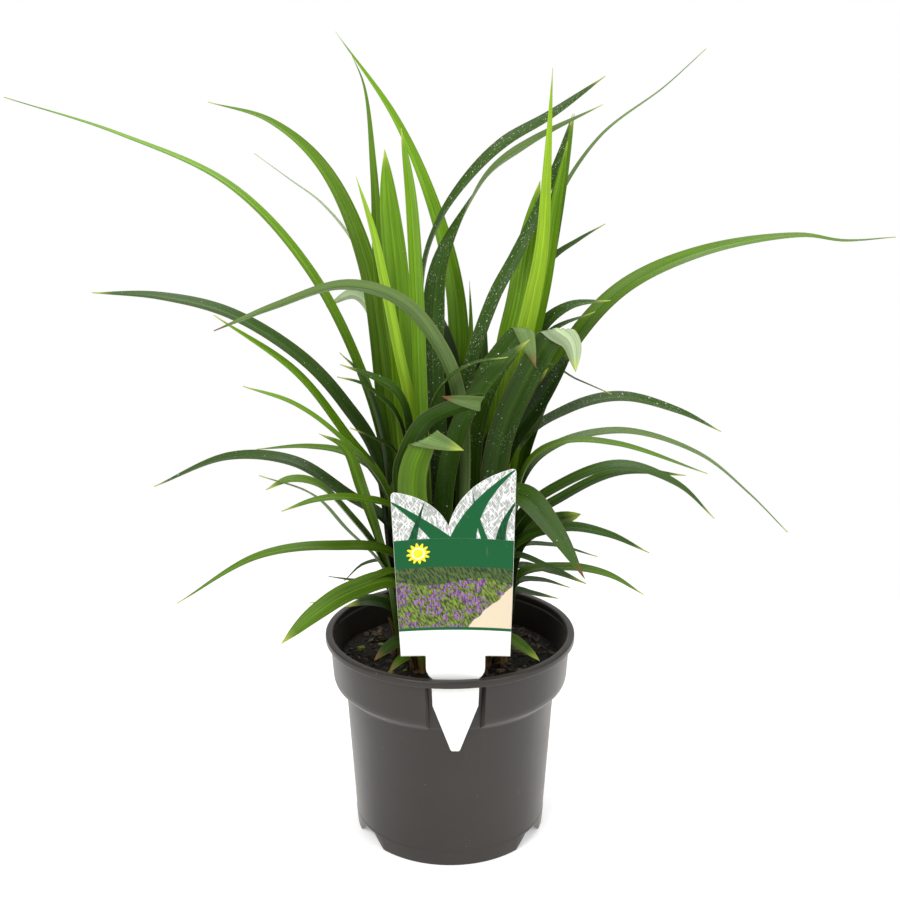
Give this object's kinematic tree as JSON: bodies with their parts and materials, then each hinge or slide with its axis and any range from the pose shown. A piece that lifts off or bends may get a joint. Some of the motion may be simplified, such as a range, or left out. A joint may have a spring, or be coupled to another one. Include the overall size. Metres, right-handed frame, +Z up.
{
  "type": "potted strap-leaved plant",
  "caption": "Strap-leaved flax lily in a round plastic nursery pot of bark mix, with a plant label standing in its rim.",
  "frame": {"origin": "centre of the underside of the pot, on the surface it stands on", "axes": "+Z up out of the pot, -Y towards the front, where the label stands, +X to the right seen from the front"},
  "size_m": [0.5563, 0.2978, 0.5013],
  "materials": {
    "pot_plastic": "satin",
    "bark_mix": "matte",
    "label_plastic": "satin",
    "leaves_fresh": "satin",
    "leaves_mid": "satin",
    "leaves_dark": "satin"
  },
  "bodies": {
    "root": {"pot": "pot_plastic", "potting_mix": "bark_mix", "label": "label_plastic", "shoot_left": "leaves_mid", "shoot_low_left": "leaves_mid", "shoot_front_left": "leaves_mid", "shoot_back_left": "leaves_mid", "shoot_centre_left": "leaves_fresh", "shoot_front": "leaves_dark", "shoot_back": "leaves_mid", "shoot_centre_right": "leaves_dark", "shoot_back_right": "leaves_dark", "shoot_right": "leaves_fresh", "shoot_outer_right": "leaves_mid", "shoot_low_right": "leaves_mid", "shoot_front_right": "leaves_dark"}
  },
  "joints": []
}
